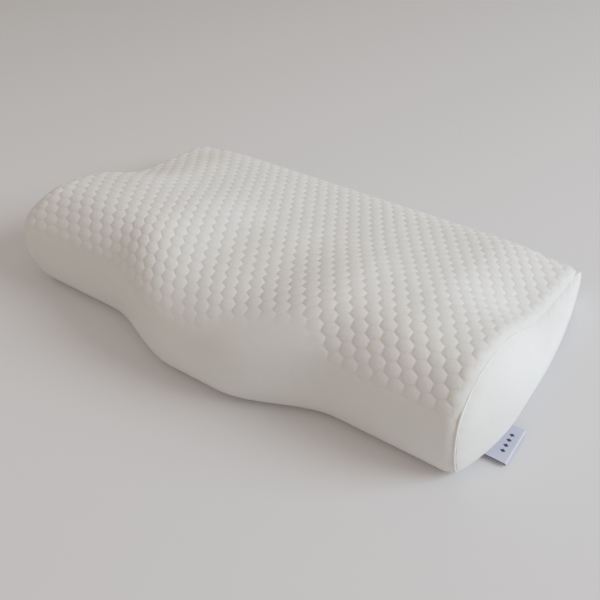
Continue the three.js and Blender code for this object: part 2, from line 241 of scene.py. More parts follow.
def section(x, t):
    """Points and inward normals of the outlines at stations x and outline places t."""
    x = np.asarray(x, float)
    t = np.asarray(t, float) % OUTLINE_POINTS
    posts = outline_points(x)
    first = np.floor(t).astype(int)
    w = (t - first)[None, :, None]
    a, b, c, d = [posts[:, (first + k) % OUTLINE_POINTS] for k in (-1, 0, 1, 2)]
    ab, bc, cd = [
        np.sqrt(np.sqrt(((q - r) ** 2).sum(-1)))[..., None]
        for q, r in ((a, b), (b, c), (c, d))
    ]
    leave_b = ((b - a) / ab - (c - a) / (ab + bc) + (c - b) / bc) * bc
    reach_c = ((c - b) / bc - (d - b) / (bc + cd) + (d - c) / cd) * bc
    w2 = -3 * b + 3 * c - 2 * leave_b - reach_c
    w3 = 2 * b - 2 * c + leave_b + reach_c
    yz = b + leave_b * w + w2 * w**2 + w3 * w**3
    along = leave_b + 2 * w2 * w + 3 * w3 * w**2
    along /= np.linalg.norm(along, axis=-1, keepdims=True)
    yz[..., 0] = np.minimum(yz[..., 0], BACK_Y)
    yz[..., 1] = np.maximum(yz[..., 1], 0)
    inward = np.stack([-along[..., 1], along[..., 0]], -1)
    wide = np.broadcast_to(x[:, None, None], yz.shape[:2] + (1,))
    return np.concatenate([wide, yz], -1), np.concatenate([0 * wide, inward], -1)


def read_grid(grid, x, share):
    """Values kept on a grid over a strip of skin, read smoothly between its points."""
    rows, steps = grid.shape[:2]
    i = np.clip((x + SEAM_X) / (2 * SEAM_X), 0, 1) * (rows - 1)
    j = np.clip(share, 0, 1) * (steps - 1)
    i0 = np.minimum(i.astype(int), rows - 2)
    j0 = np.minimum(j.astype(int), steps - 2)
    a = (i - i0).reshape((-1,) + (1,) * (grid.ndim - 2))
    b = (j - j0).reshape(a.shape)
    low = mix(grid[i0, j0], grid[i0, j0 + 1], b)
    high = mix(grid[i0 + 1, j0], grid[i0 + 1, j0 + 1], b)
    return mix(low, high, a)


class Skin:
    """A strip of the skin, read by place along the pillow and by share of its girth."""

    def __init__(self, t_from, t_to, stations=281, steps=481):
        self.x = np.linspace(-SEAM_X, SEAM_X, stations)
        dense = np.linspace(t_from, t_to, 1201)
        line, _ = section(self.x, dense)
        run = np.linalg.norm(np.diff(line, axis=1), axis=2)
        run = np.concatenate([np.zeros((stations, 1)), np.cumsum(run, axis=1)], 1)
        self.girth = run[:, -1]
        shares = np.linspace(0, 1, steps)
        self.p = np.empty((stations, steps, 3))
        for i in range(stations):
            for k in range(3):
                self.p[i, :, k] = np.interp(shares * run[i, -1], run[i], line[i, :, k])
        du = np.gradient(self.p, axis=0)
        dv = np.gradient(self.p, axis=1)
        n = np.cross(du, dv)
        self.n = n / np.linalg.norm(n, axis=2, keepdims=True)

    def read(self, x, share):
        """Points and outward normals."""
        place = read_grid(self.p, x, share)
        place[:, 0] = x
        outward = read_grid(self.n, x, share)
        return place, outward / np.linalg.norm(outward, axis=1, keepdims=True)


top_skin = Skin(FRONT_SEAM_T, 0.0)
bottom_skin = Skin(SLOT_BOTTOM_T, FRONT_SEAM_T)
top_girth = float(top_skin.girth.mean())
bottom_girth = float(bottom_skin.girth.mean())
print("cloth over the top, front seam to zip:", round(top_girth, 4), "m")
print("cloth under the pillow:", round(bottom_girth, 4), "m")

# %% [markdown]
# ## The foam core, swollen by a cloth simulation
#
# Moulded foam is never as even as its drawing: its broad faces swell a little and the hollows
# stay tight. It could be sculpted, but a cloth simulation with air pressure gives this softness
# by itself. The CAD core is copied, remeshed into even quads, blown up for twenty frames and
# then held back, so that no point moves more than about two millimetres.

# %% Foam core by remesh and cloth
FOAM_VOXEL = 0.0055
FOAM_PRESSURE = 4.0
FOAM_FRAMES = 20
FOAM_CAP = 0.0018
FOAM_QUALITY = 5
WELD = 0.00001
foam = add_object("foam_block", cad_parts["foam_core"].data.copy())
foam.data.materials.clear()
edit(foam)
bpy.ops.mesh.remove_doubles(threshold=WELD)
leave()
even = foam.modifiers.new("even", "REMESH")
even.mode = "VOXEL"
even.voxel_size = FOAM_VOXEL
apply_modifiers(foam)
foam_before = points_of(foam)
foam_normals = points_of(foam, "normal")
cloth = foam.modifiers.new("swell", "CLOTH")
cloth.settings.quality = FOAM_QUALITY
cloth.settings.use_pressure = True
cloth.settings.uniform_pressure_force = FOAM_PRESSURE
cloth.settings.effector_weights.gravity = 0
cloth.point_cache.frame_start = 1
cloth.point_cache.frame_end = FOAM_FRAMES
for number in range(1, FOAM_FRAMES + 1):
    bpy.context.scene.frame_set(number)
apply_modifiers(foam)
bpy.context.scene.frame_set(1)
swell = ((points_of(foam) - foam_before) * foam_normals).sum(1)
swell -= swell.mean()
largest = max(np.abs(swell).max(), 1e-9)
print("foam points:", len(swell), "largest swell before the cap:", as_mm(largest), "mm")

# %% [markdown]
# The swell is kept as a soft field: the cover reads it at its own points from the four nearest
# foam points, so the cover and the foam puff up together.

# %% Read the swell anywhere
USUAL_PERCENTILE = 75
SMOOTH_NEIGHBOURS = 16
READ_NEIGHBOURS = 4
READ_SOFTNESS = 0.002
FRONT_SEAM_FADE = 0.10
ZIP_FADE = 0.07
END_FADE = (0.235, 0.040)
SOFTEN_STEPS = 6
foam_tree = KDTree(len(foam_before))
for index, place in enumerate(foam_before):
    foam_tree.insert(place, index)
foam_tree.balance()
usual_swell = max(float(np.percentile(np.abs(swell), USUAL_PERCENTILE)), 1e-9)
swell_field = FOAM_CAP * np.tanh(swell / usual_swell)
swell_field = np.array([
    np.mean([swell_field[k] for _, k, _ in foam_tree.find_n(place, SMOOTH_NEIGHBOURS)])
    for place in foam_before])


def swell_at(places):
    out = np.empty(len(places))
    for row, place in enumerate(places):
        total = 0.0
        weight = 0.0
        for _, k, distance in foam_tree.find_n(place, READ_NEIGHBOURS):
            share = 1 / (distance + READ_SOFTNESS)
            total += share * swell_field[k]
            weight += share
        out[row] = total / weight
    return out


class SwellGrid:
    """The swell sampled once over a strip of skin, then read smoothly."""

    def __init__(self, skin, across=57, along=49):
        xs = np.linspace(-SEAM_X, SEAM_X, across)
        gx, gs = np.meshgrid(xs, np.linspace(0, 1, along), indexing="ij")
        p, _ = skin.read(gx.ravel(), gs.ravel())
        self.grid = swell_at(p).reshape(across, along)

    def read(self, x, share):
        held = ramp(share, 0.0, FRONT_SEAM_FADE) * ramp(1 - share, 0.0, ZIP_FADE)
        held = held * (1 - ramp(np.abs(x), *END_FADE))
        return held * read_grid(self.grid, x, share)


top_swell = SwellGrid(top_skin)
print("cover swell:", as_mm(top_swell.grid.min()), "to", as_mm(top_swell.grid.max()), "mm")
set_points(foam, foam_before + foam_normals * swell_field[:, None])
soften = foam.modifiers.new("soften", "SMOOTH")
soften.iterations = SOFTEN_STEPS
apply_modifiers(foam)
smooth(foam, 180)

# %% [markdown]
# ## One bubble of the knit
#
# The cover is a double knit whose two layers are joined only along the edges of hexagons, so
# each hexagon stands up as a flat little cushion with a narrow groove round it. A bump texture
# would look flat at the outline, so the bubbles are real: one hexagon is inset three times, a
# little higher each time, and poked in the middle. It is the only bubble that is modelled.

# %% Model one hexagon
BUBBLE_COLUMNS = 35
BUBBLE_ROWS = 33
BUBBLE_HEIGHT = 0.0011
BUBBLE_INSETS = ((0.0008, 0.30), (0.0018, 0.34), (0.0026, 0.24))
BUBBLE_TOP = 0.12
BUBBLE_WELD = 0.0002
bubble_wide = 2 * SEAM_X / BUBBLE_COLUMNS
bubble_row = top_girth / BUBBLE_ROWS
corner = bubble_wide / math.sqrt(3)
bpy.ops.mesh.primitive_circle_add(vertices=6, radius=corner, fill_type="NGON")
bubble = named("knit_bubble")
edit(bubble, "EDGE")
bpy.ops.mesh.subdivide(number_cuts=1)
leave()
edit(bubble, "FACE")
for inset_by, rise in BUBBLE_INSETS:
    bpy.ops.mesh.inset(thickness=inset_by, depth=rise * BUBBLE_HEIGHT)
bpy.ops.mesh.poke(offset=BUBBLE_TOP * BUBBLE_HEIGHT)
bpy.ops.mesh.select_all(action="SELECT")
pitch_fit = bubble_row / (1.5 * corner)
bpy.ops.transform.resize(value=(1, pitch_fit, 1))
leave()
print("one bubble:", triangles_in(bubble), "triangles,",
      [as_mm(v) for v in bubble.dimensions], "mm")

# %% [markdown]
# ## The knitted sheet
#
# Two bubbles, the second half a bubble across and one row up, repeat over the whole cloth. Two
# Array modifiers lay the pair out, the shared edges are merged, and the sheet is cut to the
# panel's size with four bisects, as scissors would cut through the bubbles at the seams.

# %% Lay out and cut the sheet
def repeat(obj, name, step, count):
    rows = obj.modifiers.new(name, "ARRAY")
    rows.use_relative_offset = False
    rows.use_constant_offset = True
    rows.constant_offset_displace = step
    rows.count = count


def cut_sheet(obj, place, normal):
    edit(obj)
    bpy.ops.mesh.bisect(plane_co=place, plane_no=normal, clear_outer=True)
    leave()


pair = bubble.data.copy()
pair.transform(Matrix.Translation((bubble_wide / 2, bubble_row, 0)))
other = add_object("second_bubble", pair)
alone(bubble)
other.select_set(True)
bpy.ops.object.join()
bubble.data.transform(Matrix.Translation((-SEAM_X - bubble_wide / 2, -bubble_row, 0)))
repeat(bubble, "across", (bubble_wide, 0, 0), BUBBLE_COLUMNS + 2)
repeat(bubble, "upward", (0, 2 * bubble_row, 0), BUBBLE_ROWS // 2 + 2)
apply_modifiers(bubble)
edit(bubble)
bpy.ops.mesh.remove_doubles(threshold=BUBBLE_WELD)
leave()
cut_sheet(bubble, (COVER_END_X, 0, 0), (1, 0, 0))
cut_sheet(bubble, (-COVER_END_X, 0, 0), (-1, 0, 0))
cut_sheet(bubble, (0, 0, 0), (0, -1, 0))
cut_sheet(bubble, (0, top_girth, 0), (0, 1, 0))
cover_top = bubble
cover_top.name = "cover_top_knit"
print("knitted sheet:", triangles_in(cover_top), "triangles")

# %% [markdown]
# ## Laying the cloth on the foam
#
# The flat sheet keeps its own place as a UV map in metres, so the knit pattern follows the
# cloth. Then each point is moved on to the skin: across stays across, and up the sheet becomes
# up the front, over the neck roll and down to the zip. The bubbles stop above the front of the
# wings, where the cloth is plain, and fade on the front of the bulge, where it is stretched.
# Beside the piped ends the cloth dips, because the seam pulls it in.

# %% Cloth helpers
RIGHT_ROLL = (0.0180, 0.0120)
LEFT_ROLL = (0.0225, 0.0195)
ZIP_DIP = 0.0008
KNIT_WALL = 0.0014
PLAIN_LEVEL = 0.55
GATHER_SIZE = 0.00035
GATHER_REACH = 0.022
GATHER_RUNS = (0.0043, 0.0071)
BUBBLE_EDGE = 0.149
BUBBLE_FADE = 0.028
FLANK_RISE = (-0.010, 0.050)
FLANK_FALL = (0.098, 0.060)
FLANK_EDGE_UP = 0.068
BULGE_X = -0.010
BULGE_HALF = 0.070
BULGE_EDGE_DOWN = 0.040
BULGE_FADE = 0.080
BULGE_TIGHT = 0.55
BULGE_TIGHT_SPAN = (0.16, 0.14)
ROLLED_SPAN = (0.266, 0.011)


def keep_flat_uv(obj, flat):
    layer = obj.data.uv_layers.new(name="cloth")
    corner_of = np.empty(len(obj.data.loops), np.int32)
    obj.data.loops.foreach_get("vertex_index", corner_of)
    layer.data.foreach_set("uv", flat[corner_of, :2].astype(np.float32).ravel())


def roll_drop(roll, near):
    """How far a rolled edge has turned down at a distance near into the roll."""
    radius, reach = roll
    near = np.clip(near, 0, reach)
    return radius - np.sqrt(radius**2 - near**2)


def seam_drop(side):
    roll = RIGHT_ROLL if side > 0 else LEFT_ROLL
    return float(roll_drop(roll, roll[1]))


def seam_dip(x, edge=COVER_END_X):
    right = roll_drop(RIGHT_ROLL, RIGHT_ROLL[1] - (edge - x))
    left = roll_drop(LEFT_ROLL, LEFT_ROLL[1] - (edge + x))
    return right + left


def gathers(x, run):
    near = np.clip(1 - (COVER_END_X - np.abs(x)) / GATHER_REACH, 0, 1)
    wave = np.sin(run / GATHER_RUNS[0]) + 0.6 * np.sin(run / GATHER_RUNS[1] + 1.7)
    return GATHER_SIZE * near**1.5 * wave


def bubble_mask(x, share):
    """1 where the bubbles stand up, 0 where the cloth is plain."""
    flank = ramp(x, *FLANK_RISE) * (1 - ramp(x, *FLANK_FALL))
    bulge = np.exp(-(((x - BULGE_X) / BULGE_HALF) ** 4))
    edge = BUBBLE_EDGE + FLANK_EDGE_UP * flank - BULGE_EDGE_DOWN * bulge
    full = ramp(share, edge, mix(BUBBLE_FADE, BULGE_FADE, np.maximum(flank, bulge)))
    tight = 1 - BULGE_TIGHT * bulge * (1 - ramp(share, *BULGE_TIGHT_SPAN))
    rolled = 1 - ramp(np.abs(x), *ROLLED_SPAN)
    return full * tight * rolled


def thicken(obj, thick):
    wall = obj.modifiers.new("cloth_thickness", "SOLIDIFY")
    wall.thickness = thick
    wall.offset = -1
    wall.use_even_offset = False
    apply_modifiers(obj)


print("edge of the bubbles:", BUBBLE_EDGE, "of the way from the front seam to the zip")

# %% [markdown]
# The two ends are not quite upright, and the slot for the zip is shorter than the pillow. Both
# are small moves made to points that already lie on the skin.

# %% The lean of the two ends
END_LEAN = 0.0045
END_LEAN_HEIGHT = 0.062
LEFT_REACH = 0.013
LEFT_CROWN = 0.011
LEFT_LOBE = 0.0125
LEFT_UNDERCUT = 0.008
RIGHT_SPAN = (0.225, 0.055)
RIGHT_LEAN_IN = -0.002
LEFT_SPAN = (0.165, 0.115)
LOBE_Y = -0.140
LOBE_HALF = 0.055
LOBE_RISE = (0.012, 0.036)
LOBE_FALL = (0.070, 0.035)
LOBE_FALL_SHARE = 0.7
UNDERCUT_HEIGHT = 0.032
LIP_SPAN = (0.2290, 0.008)
LIP_BACK_SPAN = (BACK_Y - 0.030, 0.022)
LIP_REACH_UP = 0.012
LIP_REACH_DOWN = 0.007
LIP_SHUT = SLOT_HALF - 0.0002


def lean(place):
    """The right end stands wider at the floor; the left lobe swells out and is undercut."""
    out = place.copy()
    z = place[:, 2]
    near = ramp(place[:, 0], *RIGHT_SPAN)
    out[:, 0] += near * np.maximum(END_LEAN * (1 - z / END_LEAN_HEIGHT), RIGHT_LEAN_IN)
    left = ramp(-place[:, 0], *LEFT_SPAN)
    front = np.exp(-(((place[:, 1] - LOBE_Y) / LOBE_HALF) ** 2))
    high = ramp(z, *LOBE_RISE) * (1 - LOBE_FALL_SHARE * ramp(z, *LOBE_FALL))
    low = 1 - ramp(z, 0.0, UNDERCUT_HEIGHT)
    out[:, 0] -= left * (LEFT_REACH + front * (LEFT_LOBE * high - LEFT_UNDERCUT * low))
    return out


def shut_slot(place):
    """Outside the zip the two lips of the slot are sewn together."""
    out = place.copy()
    shut = ramp(np.abs(place[:, 0]), *LIP_SPAN) * ramp(place[:, 1], *LIP_BACK_SPAN)
    above = np.maximum(place[:, 2] - (ZIP_HEIGHT + SLOT_HALF), 0)
    below = np.maximum((ZIP_HEIGHT - SLOT_HALF) - place[:, 2], 0)
    down = -np.exp(-above / LIP_REACH_UP)
    up = np.exp(-below / LIP_REACH_DOWN)
    out[:, 2] += shut * LIP_SHUT * np.where(place[:, 2] > ZIP_HEIGHT, down, up)
    return out


print("the slot is sewn shut from", LIP_SPAN[0], "m to each seam")

# %% [markdown]
# Now the sheet is wrapped: skin, swell, roll at the ends, gathers and the dip at the zip are
# added up at every point, and the cloth gets its thickness last.

# %% Wrap the bubble knit
ZIP_DIP_SPAN = (0.985, 0.015)
flat = points_of(cover_top)
keep_flat_uv(cover_top, flat)
share = flat[:, 1] / top_girth
mask = bubble_mask(flat[:, 0], share)
relief = mix(PLAIN_LEVEL * BUBBLE_HEIGHT, flat[:, 2], mask)
skin_at, outward = top_skin.read(flat[:, 0], share)
lift = relief - PLAIN_LEVEL * BUBBLE_HEIGHT
lift += top_swell.read(flat[:, 0], share)
lift -= seam_dip(flat[:, 0])
lift += gathers(flat[:, 0], flat[:, 1])
lift -= ZIP_DIP * ramp(share, *ZIP_DIP_SPAN)
set_points(cover_top, lean(shut_slot(skin_at + outward * lift[:, None])))
# Painted shade: each bubble point keeps its depth into the groove round it, and the knit material
# darkens its colour there.
groove_shade = cover_top.data.attributes.new("groove_shade", "FLOAT", "POINT")
groove_shade_share = mask * (1 - flat[:, 2] / BUBBLE_HEIGHT)
groove_shade.data.foreach_set("value", groove_shade_share.astype(np.float32))
thicken(cover_top, KNIT_WALL)
smooth(cover_top, 60)
print("cover top:", triangles_in(cover_top), "triangles")

# %% [markdown]
# ## The plain panels
#
# The bottom panel and the four liner panels are smooth cloth, so each starts as a flat grid,
# gets its UV map, and is laid on the skin in the same way, the liner a few millimetres deeper.

# %% Bottom panel and liner
LINER_WALL = 0.0007
LINER_INSET = 0.0046
FLOOR_GAP = 0.0002


def plain_panel(name, skin, girth, cells, wall, inset, edge, lift_of=None):
    bpy.ops.mesh.primitive_grid_add(
        x_subdivisions=cells[0], y_subdivisions=cells[1], size=1,
        location=(0, girth / 2, 0))
    obj = named(name)
    obj.scale = (2 * edge, girth, 1)
    settle(obj)
    face_up = points_of(obj)
    keep_flat_uv(obj, face_up)
    share = face_up[:, 1] / girth
    place, outward = skin.read(face_up[:, 0], share)
    lift = -inset - seam_dip(face_up[:, 0], edge=edge)
    if lift_of is not None:
        lift = lift + lift_of(face_up[:, 0], share)
    place = place + outward * lift[:, None]
    place[:, 2] = np.maximum(place[:, 2], inset + FLOOR_GAP)
    set_points(obj, lean(shut_slot(place)))
    thicken(obj, wall)
    smooth(obj, 60)
    return obj


cover_bottom = plain_panel(
    "cover_bottom_knit", bottom_skin, bottom_girth, (150, 90), KNIT_WALL, 0.0, COVER_END_X)
liner_top = plain_panel(
    "liner_top_jersey", top_skin, top_girth, (120, 90), LINER_WALL, LINER_INSET,
    COVER_END_X, top_swell.read)
liner_bottom = plain_panel(
    "liner_bottom_jersey", bottom_skin, bottom_girth, (120, 70), LINER_WALL, LINER_INSET,
    COVER_END_X)
print("bottom panel:", triangles_in(cover_bottom), "triangles")

# %% [markdown]
# ## The end panels
#
# Each end is one piece of plain knit sewn all round, so it swells and is drawn into little
# gathers at the seam. A disc of rings is the simplest start: a circle is extruded and shrunk
# ring by ring and closed in the middle, and then every ring is moved to its place between the
# outline and the middle of the end. Foam that would stand out of the liner is pressed back.

# %% Model an end panel
END_AROUND = 288
END_RING_COUNT = 26
LINER_AROUND = 144
LINER_RING_COUNT = 12
END_GATHER = 0.0006
SEAM_PINCH = 0.0010
TOP_LAP = 0.0008
TOP_RISE = 0.0002
SEAM_PUFF = 0.0011
SEAM_PUFF_REACH = 0.0030
RIGHT_CROWN = 0.0252
RIGHT_MIDDLE = np.array([0, -0.0640, 0.0330])
LEFT_MIDDLE = np.array([0, -0.1199, 0.34 * NECK_HEIGHT[2]])
SHOULDER_SLOPE = 1.25
SHOULDER_TURN = 1.5
SEEN_FROM_FRONT = 0.8
SEEN_SPAN = (-0.10, 0.70)
TOP_SPAN = 0.40
PINCH_RINGS = 0.07
LAP_RINGS = 0.35
GATHER_RINGS = (0.05, 0.45)
PLEAT_RUNS = (0.0021, 0.0034)
PLEAT_DRIFT = 0.013
END_FLOOR_GAP = 0.0004
FOAM_UNDER_LINER = 0.0010
FOAM_END_X = 0.262
loop_t = np.linspace(0, OUTLINE_POINTS, 1401)
loop_line = section([SEAM_X], loop_t)[0][0]
loop_run = np.linalg.norm(np.diff(loop_line, axis=0), axis=1)
loop_run = np.concatenate([[0], np.cumsum(loop_run)])


def on_top(outward, start=0.15):
    """1 where the end seam runs over the top, 0 down the front."""
    return ramp(outward[:, 2], start, TOP_SPAN)


def around(share):
    """Points and outward normals of the end outline at even shares of its length."""
    share = np.asarray(share, float) % 1
    t = np.interp(share * loop_run[-1], loop_run, loop_t)
    place, inward = section([SEAM_X], t)
    return place[0], -inward[0]


def right_swell(inner, across):
    """The right end is drawn tight, so it is a shallow dome with a small puff at the seam."""
    puff = SEAM_PUFF * (1 - np.exp(-inner * across / SEAM_PUFF_REACH))
    return RIGHT_CROWN * (1 - (1 - inner) ** 2) + puff


def left_swell(inner, across, y, outward):
    """The left end hangs fuller, so it turns round a shoulder where it is seen."""
    crown = LEFT_CROWN * mix(1, BACK_CROWN, ramp(y, LEFT_MIDDLE[1], BACK_Y - LEFT_MIDDLE[1]))
    plump = np.sqrt(np.maximum(0, 1 - (1 - inner) ** 3))
    turn = np.maximum(SHOULDER_SLOPE * across / crown, SHOULDER_TURN)
    shoulder = 1 - (1 - inner) ** turn
    seen = ramp(outward[:, 2] - SEEN_FROM_FRONT * outward[:, 1], *SEEN_SPAN)
    return crown * mix(plump, shoulder, seen)


def end_points(share, ring, side, inset):
    """Points of an end panel: ring is 0 at the seam and 1 in the middle."""
    edge, outward = around(share)
    middle = RIGHT_MIDDLE if side > 0 else LEFT_MIDDLE
    top = on_top(outward)
    pinch = mix(SEAM_PINCH, -TOP_RISE, top) * (1 - ramp(ring, 0, PINCH_RINGS))
    edge = edge - outward * (seam_drop(side) + pinch)[:, None]
    inner = ring**2
    place = mix(edge, middle, inner[:, None])
    across = np.linalg.norm(edge[:, 1:] - middle[1:], axis=1)
    if side > 0:
        swell = right_swell(inner, across)
    else:
        swell = left_swell(inner, across, place[:, 1], outward)
    run = share * loop_run[-1]
    rise, fall = GATHER_RINGS
    fade = np.clip(ring / rise, 0, 1) * np.clip(1 - ring / fall, 0, 1) ** 1.5
    wave = np.sin(run / PLEAT_RUNS[0]) * (0.6 + 0.4 * np.sin(run / PLEAT_DRIFT))
    wave = wave + 0.7 * np.sin(run / PLEAT_RUNS[1] + 0.8)
    swell = swell + END_GATHER * fade * wave
    lap = top * (1 - ramp(ring, 0, LAP_RINGS))
    place[:, 0] = mix(END_PANEL_X, COVER_END_X - TOP_LAP, lap) + swell - inset
    place[:, 2] = np.maximum(place[:, 2], END_FLOOR_GAP + inset)
    place[:, 0] *= side
    return lean(place)


def end_panel(name, side, around_count, rings, inset, wall):
    bpy.ops.mesh.primitive_circle_add(vertices=around_count, radius=1, fill_type="NOTHING")
    obj = named(name)
    edit(obj)
    for ring in range(1, rings):
        shrink = (1 - ring / rings) / (1 - (ring - 1) / rings)
        bpy.ops.mesh.extrude_region_move()
        bpy.ops.transform.resize(value=(shrink, shrink, 1))
    bpy.ops.mesh.extrude_region_move()
    bpy.ops.mesh.merge(type="CENTER")
    leave()
    disc = points_of(obj)
    ring = np.clip(1 - np.hypot(disc[:, 0], disc[:, 1]), 0, 1)
    share = np.arctan2(disc[:, 0], disc[:, 1]) / (2 * math.pi) % 1
    place = end_points(share, ring, side, inset)
    keep_flat_uv(obj, place[:, 1:])
    set_points(obj, place)
    face_out(obj)
    if obj.data.polygons[-1].normal[0] * side < 0:
        edit(obj)
        bpy.ops.mesh.flip_normals()
        leave()
    thicken(obj, wall)
    smooth(obj, 60)
    return obj


end_right = end_panel("cover_right_end_knit", 1, END_AROUND, END_RING_COUNT, 0.0, KNIT_WALL)
end_left = end_panel("cover_left_end_knit", -1, END_AROUND, END_RING_COUNT, 0.0, KNIT_WALL)
liner_right = end_panel(
    "liner_right_end_jersey", 1, LINER_AROUND, LINER_RING_COUNT, LINER_INSET, LINER_WALL)
liner_left = end_panel(
    "liner_left_end_jersey", -1, LINER_AROUND, LINER_RING_COUNT, LINER_INSET, LINER_WALL)


def keep_foam_inside(liner_end, side):
    """Foam that would stand out of the liner's end is pressed back under it."""
    wall = BVHTree.FromObject(liner_end, bpy.context.evaluated_depsgraph_get())
    co = points_of(foam)
    pressed = 0
    for row in np.flatnonzero(co[:, 0] * side > FOAM_END_X):
        start = Vector((0, co[row, 1], co[row, 2]))
        hit, _, _, _ = wall.ray_cast(start, Vector((side, 0, 0)))
        if hit is None:
            continue
        limit = abs(hit.x) - FOAM_UNDER_LINER
        pressed += abs(co[row, 0]) > limit
        co[row, 0] = side * min(abs(co[row, 0]), limit)
    set_points(foam, co)
    return pressed


print("foam points pressed back:", keep_foam_inside(liner_right, 1), "and",
      keep_foam_inside(liner_left, -1))
print("end panel:", triangles_in(end_right), "triangles")

# %% [markdown]
# ## The welts
#
# A soft folded strip is caught in the seam round each end. It shows as a narrow rounded ridge
# down the front and the back, and sinks into the seam over the top. A closed line is laid round
# the outline and given a round bevel, which is how a tube is made from a curve; slight changes
# of radius keep it from looking turned.

# %% Model a welt
WELT_RADIUS = 0.0014
WELT_SINK = 0.0002
WELT_TOP_SINK = 0.0018
WELT_SINK_START = 0.50
WELT_STEPS = 480
WELT_FLOOR_GAP = 0.0002
WELT_SHIFT = 0.0001
WELT_ROUND = 4


def welt(name, side):
    share = np.arange(WELT_STEPS) / WELT_STEPS
    line, outward = around(share)
    sink = mix(WELT_SINK, WELT_TOP_SINK, on_top(outward, WELT_SINK_START))
    line = line - outward * (seam_drop(side) + sink)[:, None]
    line[:, 0] = side * (COVER_END_X + WELT_SHIFT)
    line[:, 2] = np.maximum(line[:, 2], WELT_RADIUS + WELT_FLOOR_GAP)
    line = lean(line)
    curve = bpy.data.curves.new(name, "CURVE")
    curve.dimensions = "3D"
    spline = curve.splines.new("POLY")
    spline.points.add(WELT_STEPS - 1)
    for at, place, run in zip(spline.points, line, share * loop_run[-1]):
        at.co = (*place, 1)
        at.radius = 1 + 0.07 * math.sin(run / 0.0031) + 0.05 * math.sin(run / 0.0083)
    spline.use_cyclic_u = True
    curve.bevel_depth = WELT_RADIUS
    curve.bevel_resolution = WELT_ROUND
    obj = add_object(name, curve)
    alone(obj)
    bpy.ops.object.convert(target="MESH")
    face_out(obj)
    smooth(obj, 180)
    return obj


welt_right = welt("right_end_welt", 1)
welt_left = welt("left_end_welt", -1)
print("welt:", triangles_in(welt_right), "triangles")

# %% [markdown]
# ## The zip along the back
#
# Each side of the zip is a woven tape with one long nylon coil sewn along its edge. A coil is a
# wound filament, so one turn is modelled and an Array repeats it; a turn has only a few faces,
# because there are hundreds. The two coils are half a turn apart, so they mesh.

# %% Model the coils
COIL_PITCH = 0.0013
COIL_HALF = 0.2226
COIL_IN_Y = 0.1598
COIL_OUT_Y = 0.1620
COIL_TURN_RADIUS = 0.0011
FILAMENT = 0.00034
COIL_SPREAD = 0.0019
COIL_MESH = 0.0005
COIL_BEND = 0.25
turns = int(2 * COIL_HALF / COIL_PITCH) - 1


def coil(name, side):
    middle_y = (COIL_IN_Y + COIL_OUT_Y) / 2
    bpy.ops.mesh.primitive_torus_add(
        major_segments=12, minor_segments=4, major_radius=COIL_TURN_RADIUS - FILAMENT,
        minor_radius=FILAMENT, rotation=(0, math.pi / 2, 0))
    obj = named(name)
    settle(obj)
    turn = points_of(obj)
    turn[:, 2] *= COIL_SPREAD / COIL_TURN_RADIUS
    turn[:, 0] += COIL_BEND * COIL_PITCH * np.sin(math.pi * turn[:, 2] / (2 * COIL_SPREAD))
    turn[:, 0] += -COIL_HALF + (0.5 if side > 0 else 1.0) * COIL_PITCH
    turn[:, 1] += middle_y
    turn[:, 2] += ZIP_HEIGHT + side * (COIL_SPREAD - COIL_MESH)
    set_points(obj, turn)
    repeat(obj, "turns", (COIL_PITCH, 0, 0), turns)
    apply_modifiers(obj)
    smooth(obj, 60)
    return obj


coil_upper = coil("zip_coil_upper_wound", 1)
coil_lower = coil("zip_coil_lower_wound", -1)
print("coil turns:", turns, "triangles each coil:", triangles_in(coil_upper))

# %% [markdown]
# ## The side label
#
# A folded ribbon is caught in the seam at the bottom of the right end. It is one strip: out from
# the seam, round a soft fold, and back to the seam underneath. A grid is bent along that path.
# Its root stays in the seam.

# %% Model the label
LABEL_Y = -0.094
LABEL_WIDE = 0.046
LABEL_ROOT_X = 0.2840
LABEL_FOLD_X = 0.3167
LABEL_TOP_Z = 0.0052
LABEL_LOW_Z = 0.0012
LABEL_CLOTH = 0.0005
LABEL_WAVE = 0.0006
LABEL_TILT = 0.0004
LABEL_FLOOR = 0.0007
label_radius = (LABEL_TOP_Z - LABEL_LOW_Z) / 2
label_run = LABEL_FOLD_X - label_radius - LABEL_ROOT_X
label_long = 2 * label_run + math.pi * label_radius
bpy.ops.mesh.primitive_grid_add(x_subdivisions=90, y_subdivisions=24, size=1)
label = named("side_label_ribbon")
label.scale = (label_long, LABEL_WIDE, 1)
settle(label)
strip = points_of(label)
strip[:, 0] += label_long / 2
keep_flat_uv(label, strip)
s = strip[:, 0]
w = strip[:, 1]
turn = np.clip((s - label_run) / label_radius, 0, math.pi)
x = LABEL_ROOT_X + np.where(s < label_run, s, label_run)
x = np.where(s > label_long - label_run, LABEL_ROOT_X + label_long - s, x)
x = x + np.where((turn > 0) & (turn < math.pi), label_radius * np.sin(turn), 0)
z = LABEL_TOP_Z - label_radius + label_radius * np.cos(turn)
out = (x - LABEL_ROOT_X) / label_run
top_side = np.cos(turn) > 0
wavy = LABEL_WAVE * out**2 * np.sin(w / LABEL_WIDE * 5.0 + 0.6)
z = z + np.where(top_side, wavy + LABEL_TILT * out * (w / LABEL_WIDE), 0.4 * wavy)
set_points(label, np.stack([x, LABEL_Y + w, np.maximum(z, LABEL_FLOOR)], 1))
thicken(label, LABEL_CLOTH)
face_out(label)
smooth(label, 60)
print("label strip:", as_mm(label_long), "x", as_mm(LABEL_WIDE), "mm")
